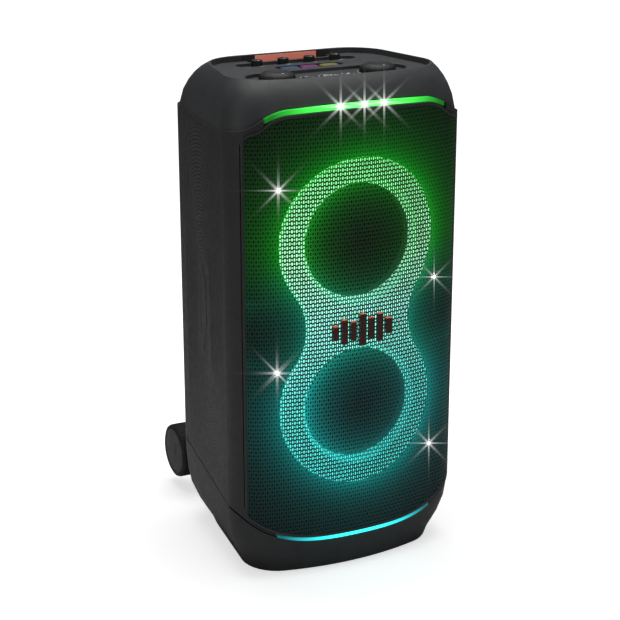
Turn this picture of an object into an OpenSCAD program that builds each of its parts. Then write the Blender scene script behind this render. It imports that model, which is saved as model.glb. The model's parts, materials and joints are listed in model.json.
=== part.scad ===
// Party speaker on wheels: two woofers, two tweeters, light ring, control deck and telescopic handle.
// Front is -Y, the right-hand side seen from the front is +X, and Z = 0 is the floor.

/* [Cabinet] */
// Width across the front corners
body_w = 334; // [330:1:340]
// Width across the rear corners
rear_w = 306; // [302:1:310]
// Depth between the front and rear corners
body_d = 264; // [262:1:268]
// Height of the top rim above the floor
body_h = 670; // [668:1:676]
// Radius of the front vertical corners
front_r = 45; // [43:1:47]
// Radius of the rear vertical corners
rear_r = 47; // [45:1:49]
// How far the front bows forwards, as an angle at its ends
bow = 15; // [13:1:16]
// Thickness of the moulded shells
wall = 4; // [3.5:0.5:4]

/* [Drivers] */
// Height of the upper woofer's axis
upper_z = 459; // [455:1:463]
// Height of the lower woofer's axis
lower_z = 236; // [232:1:240]
// Height of the tweeters
tweeter_z = 347; // [344:1:350]
// Half the distance between the tweeters
tweeter_x = 114; // [112:1:114]
// Radius of a woofer's mounting flange
flange_r = 83; // [81:0.5:83]

/* [Lights] */
// Inner radius of the light ring around each woofer
ring_in = 75; // [74.5:0.5:76]
// Outer radius of the light ring around each woofer
ring_out = 111; // [108:0.5:111]
// Half the width of the light ring's waist
waist_x = 75; // [73:0.5:76]
// Height of the light bars
bar_h = 6; // [5:0.5:7]

/* [Handle] */
// Half the distance between the handle's tubes
tube_x = 45; // [44:1:48]
// How far the tubes are behind the middle of the cabinet
tube_y = 86; // [85:0.5:87]
// Travel of each telescopic stage
stage_travel = 190; // [150:5:200]
// Half the length of the grip
grip_x = 65; // [62:1:68]

/* [Wheels] */
// Radius of the tyres
wheel_r = 40; // [38:1:42]
// Width of each wheel
wheel_w = 32; // [30:1:34]
// Outer face of each wheel, from the middle
wheel_out = 129; // [128:1:131]
// How far the axle is behind the middle of the cabinet
axle_y = 206; // [204:1:208]
// Height of the axle above the floor
axle_z = 59; // [55:1:61]

/* [Hidden] */
$fn = 64;
half_w = body_w / 2;
front_y = -body_d / 2;
rear_y = body_d / 2;
slit = 0.4;                      // gap between neighbouring mouldings
taper = asin((body_w - rear_w) / 2 / (body_d - front_r - rear_r));
corner_y = front_y + front_r;    // where the front corners end and the sides start
cap_z = 608;                     // seam between cabinet and cap on the sides
baffle_y = -116;                 // front face of the baffle
baffle_t = 10;
deck_z = body_h - 7;             // top face of the control panel
deck_t = 8;                      // thickness of the control panel
recess = 5;                      // depth of the recesses in the control panel
ledge_z = deck_z - deck_t;
deck_back = 75.5;                // rear edge of the control panel
grip_z = 652;                    // underside of the grip
tube_len = stage_travel + 60;
run_fit = 0.05;                  // radial clearance of a sliding or turning fit
colour_body = "#2c2d2e";
colour_dark = "#161718";
colour_steel = "#8f9295";

// ---- outlines -------------------------------------------------------------------------------

function arc(cx, cy, r, a0, a1, n) =
    [for (i = [0:n]) let (a = a0 + (a1 - a0) * i / n) [cx + r * cos(a), cy + r * sin(a)]];

// Plan outline: a bowed front, four rounded corners, tapering sides and a straight rear.
// side, front and rear are insets; grow widens the corner radii; a is the bow's end angle.
function plan(side = 0, front = 0, rear = 0, grow = 0, a = bow) =
    let (rf = front_r + grow, rr = rear_r + grow,
         cx = half_w - side - rf, cy = front_y + front + rf,
         dx = rear_w / 2 - side - rr, dy = rear_y - rear - rr,
         tip_x = cx + rf * sin(a), tip_y = cy - rf * cos(a),
         bow_r = tip_x / sin(a), bow_y = tip_y + bow_r * cos(a),
         right = concat(arc(cx, cy, rf, a - 90, taper, 8), arc(dx, dy, rr, taper, 90, 8)),
         left = [for (i = [len(right) - 1:-1:0]) [-right[i][0], right[i][1]]])
    concat(right, left, arc(0, bow_y, bow_r, -90 - a, a - 90, 14));

// The cabinet's plan outline moved inwards by t, keeping the corners' centres.
function inner_plan(t) = plan(t, t, t, -t);

// Y of the bowed front, t inside the outer face, at distance x from the middle.
function bow_at(x, t = 0) =
    let (tip_x = half_w - front_r + front_r * sin(bow), big_r = tip_x / sin(bow),
         centre_y = corner_y - front_r * cos(bow) + big_r * cos(bow))
    centre_y - sqrt(pow(big_r - t, 2) - x * x);

function clamp01(v) = min(1, max(0, v));
function ease(v) = let (c = clamp01(v)) c * c * (3 - 2 * c);

// Height of the top light bar's centre line: flat in the middle, falling in an S towards the corners.
function bar_mid(x) =
    cap_z + 26 * (1 - ease((abs(x) - 95) / 80)) + 3 * max(0, 1 - pow(x / 95, 2));

// Height of the base seam across the front and along the sides.
base_low = 50;
base_corner = 100;
base_high = 130;
function base_front(x) = base_low + (base_corner - base_low) * pow(abs(x) / half_w, 3.8);
function base_side_edge(y) = base_corner + (base_high - base_corner) * clamp01((y - corner_y) / 190);

// Upper and lower edge of the grille opening, with rounded corners.
grille_x = 156;
top_corner_r = 18;
low_corner_r = 45;
function corner_drop(x, r) = let (u = max(0, abs(x) - (grille_x - r))) r - sqrt(max(0, r * r - u * u));
function grille_top(x) =
    min(bar_mid(x) - bar_h / 2 - slit, cap_z + 4 - corner_drop(x, top_corner_r)
        + 100 * max(0, 1 - abs(x) / (grille_x - top_corner_r)));
function grille_low(x) = max(base_front(x) + bar_h / 2, 63 + corner_drop(x, low_corner_r)
        - 100 * max(0, 1 - abs(x) / (grille_x - low_corner_r)));

top_bar_x = 128;                 // half lengths of the light bars
low_bar_x = 116;
function sweep_x(limit) = [for (i = [-1:2 / 78:1.0001]) i * limit];

// ---- helpers --------------------------------------------------------------------------------

// Closed skin through plan outlines that all have the same number of points.
module loft(heights, rings) {
    n = len(rings[0]);
    m = len(rings);
    points = [for (k = [0:m - 1]) for (p = rings[k]) [p[0], p[1], heights[k]]];
    sides = [for (k = [0:m - 2]) for (i = [0:n - 1]) let (j = (i + 1) % n)
        [k * n + i, (k + 1) * n + i, (k + 1) * n + j, k * n + j]];
    bottom = [for (i = [0:n - 1]) i];
    top = [for (i = [n - 1:-1:0]) (m - 1) * n + i];
    polyhedron(points, concat(sides, [bottom, top]));
}

// A shape drawn in the front view (x, z), extruded from y0 back to y1.
module front_view(y0, y1) {
    translate([0, y1, 0]) rotate([90, 0, 0]) linear_extrude(y1 - y0) children();
}

// A ring or disc that faces the front, with its base at y and its axis pointing to -Y.
module facing_front(x, y, z) { translate([x, y, z]) rotate([90, 0, 0]) children(); }

// The same for a ring or disc that faces the rear.
module facing_rear(x, y, z) { translate([x, y, z]) rotate([-90, 0, 0]) children(); }

module plan_prism(t, z0, z1) { translate([0, 0, z0]) linear_extrude(z1 - z0) polygon(inner_plan(t)); }

// The front skin of the cabinet between two depths below its outer face.
module front_skin(t0, t1, z0, z1) {
    difference() {
        plan_prism(t0, z0, z1);
        plan_prism(t1, z0 - 1, z1 + 1);
        translate([-half_w, corner_y, z0 - 1]) cube([body_w, body_d, z1 - z0 + 2]);
    }
}

module pill(length, r) {
    square([length - 2 * r, 2 * r], center = true);
    for (s = [-1, 1]) translate([s * (length / 2 - r), 0]) circle(r);
}

module rounded_plate(x, y, r) {
    square([x - 2 * r, y], center = true);
    square([x, y - 2 * r], center = true);
    for (sx = [-1, 1], sy = [-1, 1]) translate([sx * (x / 2 - r), sy * (y / 2 - r)]) circle(r);
}

module tube(r_out, r_in, h) {
    difference() {
        cylinder(r = r_out, h = h);
        translate([0, 0, -1]) cylinder(r = r_in, h = h + 2);
    }
}

// ---- shells ---------------------------------------------------------------------------------

cap_z_list = [cap_z - 4, 612, 630, 644, 654, 663, body_h];
cap_share = [0.02, 0.06, 0.18, 0.36, 0.54, 0.76, 1];
cap_side = 21;
cap_front = 23;
cap_rear = 49;

// Plan outline of the cap where it has drawn in by the given share, t inside its face.
function cap_plan(share, t = 0) = plan(cap_side * share + t, cap_front * share + t,
    cap_rear * share + t, 4 + 8 * share - t, bow - 5 * share);

module cap_outside() { loft(cap_z_list, [for (s = cap_share) cap_plan(s)]); }

module cap_inside() {
    loft([cap_z - 5, 612, 630, 648], [for (s = [0.02, 0.06, 0.18, 0.42]) cap_plan(s, wall)]);
}

// Everything above the cap's lower edge.
module above_cap_seam() {
    edge = [for (x = sweep_x(half_w + 5)) [x, bar_mid(x) + (bar_h / 2 + slit) * ease((150 - abs(x)) / 20)]];
    front_view(front_y - 40, corner_y)
        polygon(concat(edge, [[half_w + 5, body_h + 5], [-half_w - 5, body_h + 5]]));
    translate([-half_w - 5, corner_y - 0.01, cap_z]) cube([body_w + 10, body_d, body_h - cap_z + 5]);
}

// Everything below the base's upper edge, lowered by drop.
module below_base_seam(drop) {
    edge = [for (x = sweep_x(half_w + 5)) [x, base_front(min(abs(x), half_w)) - drop]];
    rise = [for (i = [0:8]) let (y = corner_y - 0.01 + (200 + 0.01) * i / 8) [y, base_side_edge(y) - drop]];
    front_view(front_y - 40, corner_y)
        polygon(concat([[-half_w - 5, -5]], edge, [[half_w + 5, -5]]));
    translate([-half_w - 5, 0, 0]) rotate([90, 0, 90]) linear_extrude(body_w + 10)
        polygon(concat([[corner_y - 0.01, -5]], rise, [[rear_y + 10, base_high - drop], [rear_y + 10, -5]]));
}

module grille_shape(extra) {
    side = sweep_x(grille_x + extra);
    n = len(side);
    polygon(concat(
        [for (x = side) [x, grille_top(min(abs(x), grille_x)) + extra]],
        [for (i = [n - 1:-1:0]) [side[i], grille_low(min(abs(side[i]), grille_x)) - extra]]));
}

io_z = 316;
io_w = 150;
io_h = 110;
door_w = 160;
door_low = 142;
door_high = 234;
port_z = 520;
port_r = 28;

module cabinet_shell() {
    color(colour_body) difference() {
        plan_prism(0, 40, cap_z + 40);
        plan_prism(wall, 39, cap_z + 41);
        above_cap_seam();
        below_base_seam(-slit);
        front_view(front_y - 40, corner_y - 12) grille_shape(slit);
        front_view(front_y - 40, corner_y - 12) {
            translate([-top_bar_x - 2, cap_z]) square([2 * top_bar_x + 4, 60]);
            translate([-low_bar_x - 2, 45]) square([2 * low_bar_x + 4, 30]);
        }
        facing_rear(0, rear_y - 10, port_z) cylinder(r = port_r, h = 20);
        facing_rear(0, rear_y - 10, io_z) linear_extrude(20) rounded_plate(io_w, io_h, 10);
        at_io_screws(rear_y - 10) cylinder(r = 1.6, h = 20, $fn = 24);
        translate([-door_w / 2 - slit, rear_y - 10, door_low - slit])
            cube([door_w + 2 * slit, 20, door_high - door_low + 2 * slit]);
        hinge_line(door_w + 12) cylinder(r = pin_r + run_fit, h = door_w + 12);
        inlay(-0.6, 2);
    }
}

module base_shell() {
    color(colour_dark) difference() {
        intersection() {
            base_outside();
            below_base_seam(bar_h / 2 - 1);
        }
        loft([foot_h + wall, 28, 40, 60, 80, 104, 141],
            [for (s = [1, 0.64, 0.42, 0.17, 0.07, 0.02, 0]) base_plan(s, wall)]);
        at_feet() translate([0, 0, -1]) cylinder(r = 4, h = 12);
    }
}

foot_h = 2;
base_heights = [foot_h, foot_h + 3, 16, 28, 40, 60, 80, 104, 140];
base_share = [1.05, 1, 0.87, 0.64, 0.42, 0.17, 0.07, 0.02, 0];
module base_outside() { loft(base_heights, [for (s = base_share) base_plan(s)]); }
base_side = 27;
base_front_in = 9;
base_rear = 36;

// Plan outline of the base where it has drawn in by the given share, t inside its face.
function base_plan(share, t = 0) =
    plan(base_side * share + t, base_front_in * share + t, base_rear * share + t, 6 * share - t);

// Four corner feet and one under the middle.
feet = [[0, 0], [-100, -80], [100, -80], [-100, 62], [100, 62]];
module at_feet() { for (p = feet) translate([p[0], p[1], 0]) children(); }

module rubber_feet() {
    color(colour_dark) at_feet() {
        cylinder(r = 15, h = foot_h);
        cylinder(r = 4, h = foot_h + wall + 2);
    }
}

module top_cap() {
    color("#3a3b3c") difference() {
        intersection() { cap_outside(); above_cap_seam(); }
        cap_inside();
        translate([0, 0, ledge_z]) linear_extrude(20) intersection() {
            polygon(cap_plan(1, 3.5));
            translate([-half_w, front_y]) square([body_w, deck_back + 0.5 - front_y]);
        }
        translate([0, 0, 640]) linear_extrude(20) intersection() {
            polygon(cap_plan(1, 12));
            translate([-half_w, front_y]) square([body_w, deck_back - 8 - front_y]);
        }
        translate([-grip_x - slit, deck_back, grip_z - slit]) cube([2 * (grip_x + slit), 60, 40]);
        for (s = [-1, 1]) translate([s * tube_x, tube_y, 600]) cylinder(r = 10.5, h = 60);
    }
}

// ---- front ----------------------------------------------------------------------------------

module front_baffle() {
    color(colour_dark) difference() {
        front_view(baffle_y, baffle_y + baffle_t) difference() {
            translate([0, 340]) rounded_plate(300, 520, 30);
            for (z = [upper_z, lower_z]) translate([0, z]) circle(73);
            for (s = [-1, 1]) translate([s * tweeter_x, tweeter_z]) circle(25);
        }
        for (z = [upper_z, lower_z], i = [0:7]) facing_front(0, baffle_y + 14, z)
            rotate(i * 45 + 22.5) translate([flange_r - 5, 0, 0]) cylinder(r = 2, h = 20, $fn = 24);
    }
}

module front_grille() {
    color("#232425") intersection() {
        front_skin(0, 1.5, 30, 660);
        front_view(front_y - 40, corner_y) grille_shape(0);
    }
}

// Seven upright bars of different heights, like the levels of a graphic equaliser.
module badge() {
    levels = [20, 34, 26, 44, 30, 38, 22];
    bar_w = 8;
    pitch = 13;
    color("#6b2f26") difference() {
        for (i = [0:6]) let (x = (i - 3) * pitch)
            translate([x - bar_w / 2, bow_at(0) - 5, 342 - levels[i] / 2]) cube([bar_w, 12, levels[i]]);
        plan_prism(0, 300, 400);
    }
}

// Slim upright lozenges let into the sides, from h0 to h1 above the surface.
module inlay(h0, h1) {
    mid_x = (half_w + rear_w / 2) / 2;
    for (s = [-1, 1]) translate([s * mid_x, 0, 350]) rotate([0, 0, s < 0 ? 180 - taper : taper])
        rotate([90, 0, 90]) translate([0, 0, h0]) linear_extrude(h1 - h0)
            polygon([[0, -62], [13, -20], [9, 44], [0, 62], [-9, 44], [-13, -20]]);
}
module side_inlays() { color("#3a3b3c") inlay(-0.6, 0.3); }

// The figure-eight outline around both woofers, with a filleted waist.
module figure_eight(r, waist) {
    mid = (upper_z + lower_z) / 2;
    rise = (upper_z - lower_z) / 2;
    fillet = (rise * rise + waist * waist - r * r) / (2 * (r - waist));
    cut_x = waist + fillet;
    touch = r / (r + fillet);
    difference() {
        union() {
            for (s = [-1, 1]) translate([0, mid + s * rise]) circle(r);
            translate([-cut_x * touch, mid - rise * (1 - touch)])
                square([2 * cut_x * touch, 2 * rise * (1 - touch)]);
        }
        for (s = [-1, 1]) translate([s * cut_x, mid]) circle(fillet);
    }
}

module light_ring() {
    color("#bfeee0") difference() {
        intersection() {
            front_view(front_y - 40, baffle_y - 5) figure_eight(ring_out, waist_x);
            plan_prism(4, 100, 600);
        }
        for (z = [upper_z, lower_z]) {
            facing_front(0, baffle_y, z) cylinder(r = ring_in, h = 60);
            facing_front(0, -134, z) cylinder(r1 = ring_in, r2 = ring_out - 2, h = 14);
        }
    }
}

module ring_light_board() {
    color("#1f5b3a") {
        front_view(baffle_y - 1.6, baffle_y) difference() {
            figure_eight(ring_out - 2, waist_x - 2);
            for (z = [upper_z, lower_z]) translate([0, z]) circle(flange_r + 1);
        }
        for (z = [upper_z, lower_z], i = [0:23]) ring_chip(z, i * 15);
    }
}

// One square light chip on the board, left out where the two rings meet.
module ring_chip(z, a) {
    outward = z == upper_z ? 1 : -1;
    if (sin(a) * outward > -0.75) facing_front(0, baffle_y - 1.6, z)
        rotate(a) translate([flange_r + 10, 0, 0.9]) cube([4, 4, 1.8], center = true);
}

// A bar that follows a curve in the front view and the bow in plan.
module curved_bar(half, tall, t0, t1, lower) {
    xs = sweep_x(half);
    n = len(xs);
    intersection() {
        front_skin(t0, t1, 30, 660);
        front_view(front_y - 40, corner_y) polygon(concat(
            [for (i = [0:n - 1]) [xs[i], lower[i] + tall]],
            [for (i = [n - 1:-1:0]) [xs[i], lower[i]]]));
    }
}

module top_light_bar() {
    color("#35e04a")
        curved_bar(top_bar_x, bar_h, 2, 8, [for (x = sweep_x(top_bar_x)) bar_mid(x) - bar_h / 2]);
}

module bottom_light_bar() {
    color("#25d8e0")
        curved_bar(low_bar_x, bar_h - 2, 0.5, 8, [for (x = sweep_x(low_bar_x)) base_front(x) - 1.8]);
}

// Three small strobes behind the top bar and four on the baffle.
strobe_x = [-25, 8, 36];
star_places = [[-112, 537], [117, 393], [-115, 294], [115, 154]];
module strobe_lights() {
    color("white") {
        for (x = strobe_x) facing_front(x, bow_at(x, 8) + 8, bar_mid(x)) cylinder(r = 2.5, h = 7.4);
        for (p = star_places) facing_front(p[0], baffle_y, p[1]) {
            cylinder(r = 7, h = 6);
            cylinder(r = 5, h = 13);
        }
    }
}

// ---- woofers --------------------------------------------------------------------------------

module basket() {
    difference() {
        union() {
            rotate_extrude() polygon([[66, 0], [66, -4], [44, -56], [24, -56], [24, -59], [46, -59], [71, -5],
                [72.5, -5], [72.5, 0], [flange_r, 0], [flange_r, 5], [74, 5], [74, 2], [66, 2]]);
        }
        for (i = [0:7]) rotate(i * 45 + 22.5) translate([flange_r - 5, 0, -1])
            cylinder(r = 2.2, h = 8, $fn = 24);
        for (i = [0:5]) rotate(i * 60 + 30) translate([40, -13, -50]) cube([40, 26, 38]);
    }
}

module magnet() {
    rotate_extrude() polygon([[0, -92], [36, -92], [36, -88], [41, -88], [41, -66], [40, -66], [40, -59],
        [16.2, -59], [16.2, -65], [18, -65], [18, -86], [11, -86], [11, -58], [0, -58]]);
}

module cone() {
    rotate_extrude() polygon([[0, -16], [10, -17], [19, -21], [22, -27.5], [60, -2], [64, 0], [64, 1.2],
        [59, -0.6], [22, -25.5], [19.6, -19.6], [10, -15.4], [0, -14.4]]);
    translate([0, 0, -70]) tube(15.2, 14.2, 46);
    translate([0, 0, -29]) tube(22, 14.2, 3);
}

// A half roll between the cone's edge and the basket's flange.
module surround() {
    rotate_extrude() difference() {
        union() {
            translate([68.5, 2]) intersection() {
                circle(5.5, $fn = 48);
                translate([-10, 0]) square([20, 10]);
            }
            translate([62, 1.2]) square([4, 0.9]);
            translate([71, 2]) square([3, 0.9]);
        }
        translate([68.5, 2]) intersection() {
            circle(4.6, $fn = 48);
            translate([-10, -1]) square([20, 11]);
        }
    }
}

module spider() {
    rotate_extrude() polygon(concat(
        [for (i = [0:32]) [15.3 + i, -44 + 1.6 * sin(i * 90)]],
        [for (i = [32:-1:0]) [15.3 + i, -43.2 + 1.6 * sin(i * 90)]]));
}

module at_upper() { facing_front(0, baffle_y, upper_z) children(); }
module at_lower() { facing_front(0, baffle_y, lower_z) children(); }
module upper_woofer_basket() { color("#1e1f20") at_upper() basket(); }
module upper_woofer_magnet() { color("#4b4d50") at_upper() magnet(); }
module upper_woofer_cone() { color("#26282a") at_upper() cone(); }
module upper_woofer_surround() { color("#111213") at_upper() surround(); }
module upper_woofer_spider() { color("#b58a3c") at_upper() spider(); }
module lower_woofer_basket() { color("#1e1f20") at_lower() basket(); }
module lower_woofer_magnet() { color("#4b4d50") at_lower() magnet(); }
module lower_woofer_cone() { color("#26282a") at_lower() cone(); }
module lower_woofer_surround() { color("#111213") at_lower() surround(); }
module lower_woofer_spider() { color("#b58a3c") at_lower() spider(); }

// Eight screws round each woofer and four at the corners of the rear panel.
module screws() {
    color(colour_steel) {
        for (z = [upper_z, lower_z], i = [0:7]) facing_front(0, baffle_y, z)
            rotate(i * 45 + 22.5) translate([flange_r - 5, 0, 0]) {
                translate([0, 0, -9]) cylinder(r = 2, h = 14, $fn = 24);
                translate([0, 0, 2.6]) cylinder(r = 2.15, h = 2.4, $fn = 24);
            }
        at_io_screws(rear_y - 12) {
            cylinder(r = 1.6, h = 13, $fn = 24);
            translate([0, 0, 12]) cylinder(r = 3.4, h = 1.8, $fn = 24);
        }
    }
}

// ---- tweeters -------------------------------------------------------------------------------

module at_tweeters() { for (s = [-1, 1]) facing_front(s * tweeter_x, baffle_y, tweeter_z) children(); }

module tweeter_horns() {
    color("#1b1c1d") at_tweeters() rotate_extrude()
        polygon([[14.5, -3], [24.5, -3], [24.5, 0], [34, 0], [34, 5], [32, 6], [27, 4.5], [19, 1],
            [14.5, 0]]);
}

module tweeter_domes() {
    color("#50555a") at_tweeters() rotate_extrude() {
        polygon(concat([[0, -3]], [[14.4, -3], [14.4, -1.5], [13, -1.2]],
            [for (a = [0:15:90]) [12.5 * cos(a), -1 + 4.5 * sin(a)]]));
    }
}

module tweeter_motors() {
    color("#4b4d50") at_tweeters() translate([0, 0, -25]) {
        cylinder(r = 24.5, h = 22);
        translate([0, 0, -8]) cylinder(r = 18, h = 8);
    }
}

// ---- rear -----------------------------------------------------------------------------------

module port_tube() {
    color(colour_dark) facing_rear(0, 0, port_z) rotate_extrude()
        polygon([[port_r - 3, 20], [port_r, 20], [port_r, rear_y], [port_r + 8, rear_y],
            [port_r + 8, rear_y + 2], [port_r + 4, rear_y + 3], [port_r + 1, rear_y + 1],
            [port_r - 3, rear_y - 8]]);
}

module at_io_screws(y) {
    for (sx = [-1, 1], sz = [-1, 1])
        facing_rear(sx * (io_w / 2 + 3.5), y, io_z + sz * (io_h / 2 + 3.5)) children();
}

jack_r = 3.2;
jack_x = [-52, -26];
socket_x = [4, 26];
module io_panel() {
    color("#202122") difference() {
        union() {
            facing_rear(0, rear_y - 12, io_z) linear_extrude(3) rounded_plate(io_w + 14, io_h + 14, 12);
            facing_rear(0, rear_y - 12, io_z) linear_extrude(8) difference() {
                rounded_plate(io_w + 14, io_h + 14, 12);
                rounded_plate(io_w, io_h, 10);
            }
        }
        at_io_screws(rear_y - 20) cylinder(r = 1.6, h = 20, $fn = 24);
        for (x = jack_x) facing_rear(x, rear_y - 20, io_z + 25) cylinder(r = 7, h = 20);
        for (x = socket_x) facing_rear(x, rear_y - 20, io_z + 25) cylinder(r = 4, h = 20);
        translate([-50, rear_y - 20, io_z - 38]) cube([30, 20, 20]);
    }
}

module input_jacks() {
    color(colour_steel) {
        for (x = jack_x) facing_rear(x, rear_y - 30, io_z + 25) tube(7, jack_r, 23);
        for (x = socket_x) facing_rear(x, rear_y - 24, io_z + 25) tube(4, 1.8, 16);
    }
}

module mains_inlet() {
    color(colour_dark) facing_rear(-35, rear_y - 30, io_z - 28) difference() {
        linear_extrude(20) square([30, 20], center = true);
        translate([0, 0, 8]) linear_extrude(20) pill(22, 7);
    }
}

// ---- power ----------------------------------------------------------------------------------

hinge_y = rear_y - wall / 2;
hinge_z = door_low + wall / 2;
pin_r = wall / 2 - 0.5;
bay_y = 58;                      // front face of the battery bay
module hinge_line(length) { translate([-length / 2, hinge_y, hinge_z]) rotate([0, 90, 0]) children(); }

module battery_bay() {
    color("#26272a") difference() {
        translate([-door_w / 2 - 6, bay_y, door_low - 6])
            cube([door_w + 12, rear_y - wall - bay_y, door_high - door_low + 12]);
        translate([-door_w / 2 - 2, bay_y + 4, door_low - 2])
            cube([door_w + 4, 80, door_high - door_low + 4]);
    }
}

module battery_pack() {
    color("#3c4148") translate([-door_w / 2 + 6, bay_y + 4, door_low - 2])
        cube([door_w - 12, 58, door_high - door_low - 4]);
}

module battery_door() {
    color(colour_body) {
        difference() {
            translate([-door_w / 2, rear_y - wall, hinge_z]) cube([door_w, wall, door_high - hinge_z]);
            facing_rear(0, rear_y - 1.5, door_high - 12) linear_extrude(5) pill(46, 6);
        }
        hinge_line(door_w) cylinder(r = wall / 2, h = door_w);
        hinge_line(door_w + 10) cylinder(r = pin_r, h = door_w + 10);
    }
}

module amplifier_board() {
    color("#1f5b3a") {
        translate([-70, 96, 262]) cube([140, 1.6, 108]);
        for (x = [-45, -20, 20, 45]) translate([x, 96, 280]) rotate([90, 0, 0]) cylinder(r = 8, h = 22);
        translate([-60, 88, 320]) cube([36, 8, 36]);
    }
}

module heat_sink() {
    color(colour_steel) translate([0, 92, 316]) {
        cube([70, 4, 40]);
        for (i = [0:7]) translate([i * 9.5, -18, 0]) cube([3, 18, 40]);
    }
}

// ---- controls -------------------------------------------------------------------------------

knob_x = [-58, -19.5, 19.5, 58];
knob_y = 44;
knob_r = 8;
knob_floor = deck_z - recess;
dial_x = 73;
dial_y = -50;
dial_r = 24;
button_y = -50;
pad_x = [-28, 1, 30];
pad_y = 6;
pad_w = 25;
pad_d = 15;
shaft_r = 3;
board_z = 636;

module control_panel() {
    color("#3a3b3c") difference() {
        translate([0, 0, ledge_z]) linear_extrude(deck_t) intersection() {
            polygon(cap_plan(1, 3.5 + slit));
            translate([-half_w, front_y]) square([body_w, deck_back - front_y]);
        }
        translate([0, dial_y + 3, knob_floor]) linear_extrude(20) pill(228, 27);
        translate([0, knob_y, knob_floor]) linear_extrude(20) pill(176, 14);
        translate([1, pad_y, knob_floor]) linear_extrude(20) pill(98, 11);
        translate([-60, 61, ledge_z + 2]) cube([120, 20, 20]);
        for (x = knob_x) translate([x, knob_y, 600]) cylinder(r = shaft_r + run_fit, h = 80);
        for (s = [-1, 1]) translate([s * dial_x, dial_y, 600]) cylinder(r = shaft_r + run_fit, h = 80);
        for (x = pad_x) translate([x, pad_y, 600]) linear_extrude(80) rounded_plate(pad_w - 3, pad_d - 3, 3);
        translate([0, button_y, 600]) cylinder(r = 9 + run_fit, h = 80);
        for (s = [-1, 1]) translate([s * 30, button_y, 600]) cylinder(r = 6 + run_fit, h = 80);
    }
}

module knob(x) {
    color("#1c1d1e") translate([x, knob_y, 0]) {
        translate([0, 0, knob_floor + 1.2]) rotate_extrude()
            polygon([[0, 0], [knob_r, 0], [knob_r - 0.6, 8.6], [knob_r - 1.8, 9.8], [0, 9.8]]);
        translate([0, 0, board_z + 9]) cylinder(r = shaft_r, h = knob_floor - board_z - 7);
    }
}

module dial(x) {
    color("#1c1d1e") translate([x, dial_y, 0]) {
        translate([0, 0, knob_floor + 1.2]) rotate_extrude()
            polygon([[0, 0], [dial_r, 0], [dial_r, 4], [dial_r - 1.5, 6.5], [dial_r - 5, 8.8],
                [dial_r - 10, 10], [0, 10.6]]);
        translate([0, 0, board_z + 9]) cylinder(r = shaft_r, h = knob_floor - board_z - 7);
    }
}

module mic_volume_knob() { knob(knob_x[0]); }
module echo_knob() { knob(knob_x[1]); }
module bass_knob() { knob(knob_x[2]); }
module treble_knob() { knob(knob_x[3]); }
module volume_dial() { dial(dial_x); }
module light_dial() { dial(-dial_x); }

module round_button(x, r) {
    translate([x, button_y, ledge_z - 2]) cylinder(r = r, h = 6);
    translate([x, button_y, ledge_z - 2]) cylinder(r = r + 1.5, h = 2);
}
module power_button() { color("#2b2c2d") round_button(0, 9); }
module pairing_button() { color("#2b2c2d") round_button(-30, 6); }
module play_button() { color("#2b2c2d") round_button(30, 6); }

module effect_pad(x) {
    translate([x, pad_y, ledge_z - 4]) linear_extrude(6) rounded_plate(pad_w - 3.2, pad_d - 3.2, 2.9);
    translate([x, pad_y, knob_floor + 1.5]) linear_extrude(3) rounded_plate(pad_w, pad_d, 4);
    translate([x, pad_y, ledge_z - 4]) linear_extrude(10) rounded_plate(pad_w - 6, pad_d - 6, 2);
}
module effect_pad_blue() { color("#3b78b8") effect_pad(pad_x[0]); }
module effect_pad_pink() { color("#a03a9a") effect_pad(pad_x[1]); }
module effect_pad_yellow() { color("#b8ae3a") effect_pad(pad_x[2]); }

module control_board() {
    color("#1f5b3a") {
        translate([-100, -82, board_z - 1.6]) cube([200, 140, 1.6]);
        for (x = knob_x) translate([x, knob_y, board_z]) tube(7, shaft_r + 1, 10);
        for (s = [-1, 1]) translate([s * dial_x, dial_y, board_z]) tube(9, shaft_r + 1, 10);
        for (x = [-30, 0, 30]) translate([x - 3, button_y - 3, board_z]) cube([6, 6, 10]);
        for (x = pad_x) translate([x - 3, pad_y - 3, board_z]) cube([6, 6, 10]);
        for (sx = [-1, 1], y = [-74, 50]) translate([sx * 94, y, board_z])
            cylinder(r = 4, h = ledge_z - board_z);
    }
}

// ---- handle ---------------------------------------------------------------------------------

module at_tubes(z) { for (s = [-1, 1]) translate([s * tube_x, tube_y, z]) children(); }
sleeve_low = grip_z - slit - 3 - tube_len;

module handle_sleeves() { color(colour_dark) at_tubes(sleeve_low) tube(10.5, 9 + run_fit, tube_len + 3); }
module handle_middle_tubes() {
    color(colour_steel) at_tubes(sleeve_low + 2) tube(9, 7.5 + run_fit, tube_len + 1);
}

module grip_block() {
    intersection() {
        cap_outside();
        translate([-grip_x, deck_back + 1, grip_z]) cube([2 * grip_x, 60, 30]);
    }
}

pad_half = 46;
button_z = grip_z + 7.5;
module handle_grip() {
    color(colour_body) {
        difference() {
            grip_block();
            translate([-pad_half, deck_back, grip_z + 8]) cube([2 * pad_half, 3, 9]);
            facing_rear(0, 80, button_z) linear_extrude(40) pill(28, 5);
        }
    }
}

module handle_inner_tubes() {
    color(colour_steel) at_tubes(sleeve_low + 4) tube(7.5, 6.5, grip_z - sleeve_low - 4);
}

module handle_pad() {
    color("#e8622c") translate([-pad_half, deck_back + 0.6, grip_z + 8]) cube([2 * pad_half, 2.4, 9]);
}

module handle_button() {
    color("#3a3b3c") facing_rear(0, 84, button_z) linear_extrude(16) pill(27.6, 4.8);
}

// ---- wheels ---------------------------------------------------------------------------------

axle_r = 5;
wheel_in = wheel_out - wheel_w;
arm_w = 22;
arm_x = wheel_in - arm_w / 2 - 2;

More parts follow.
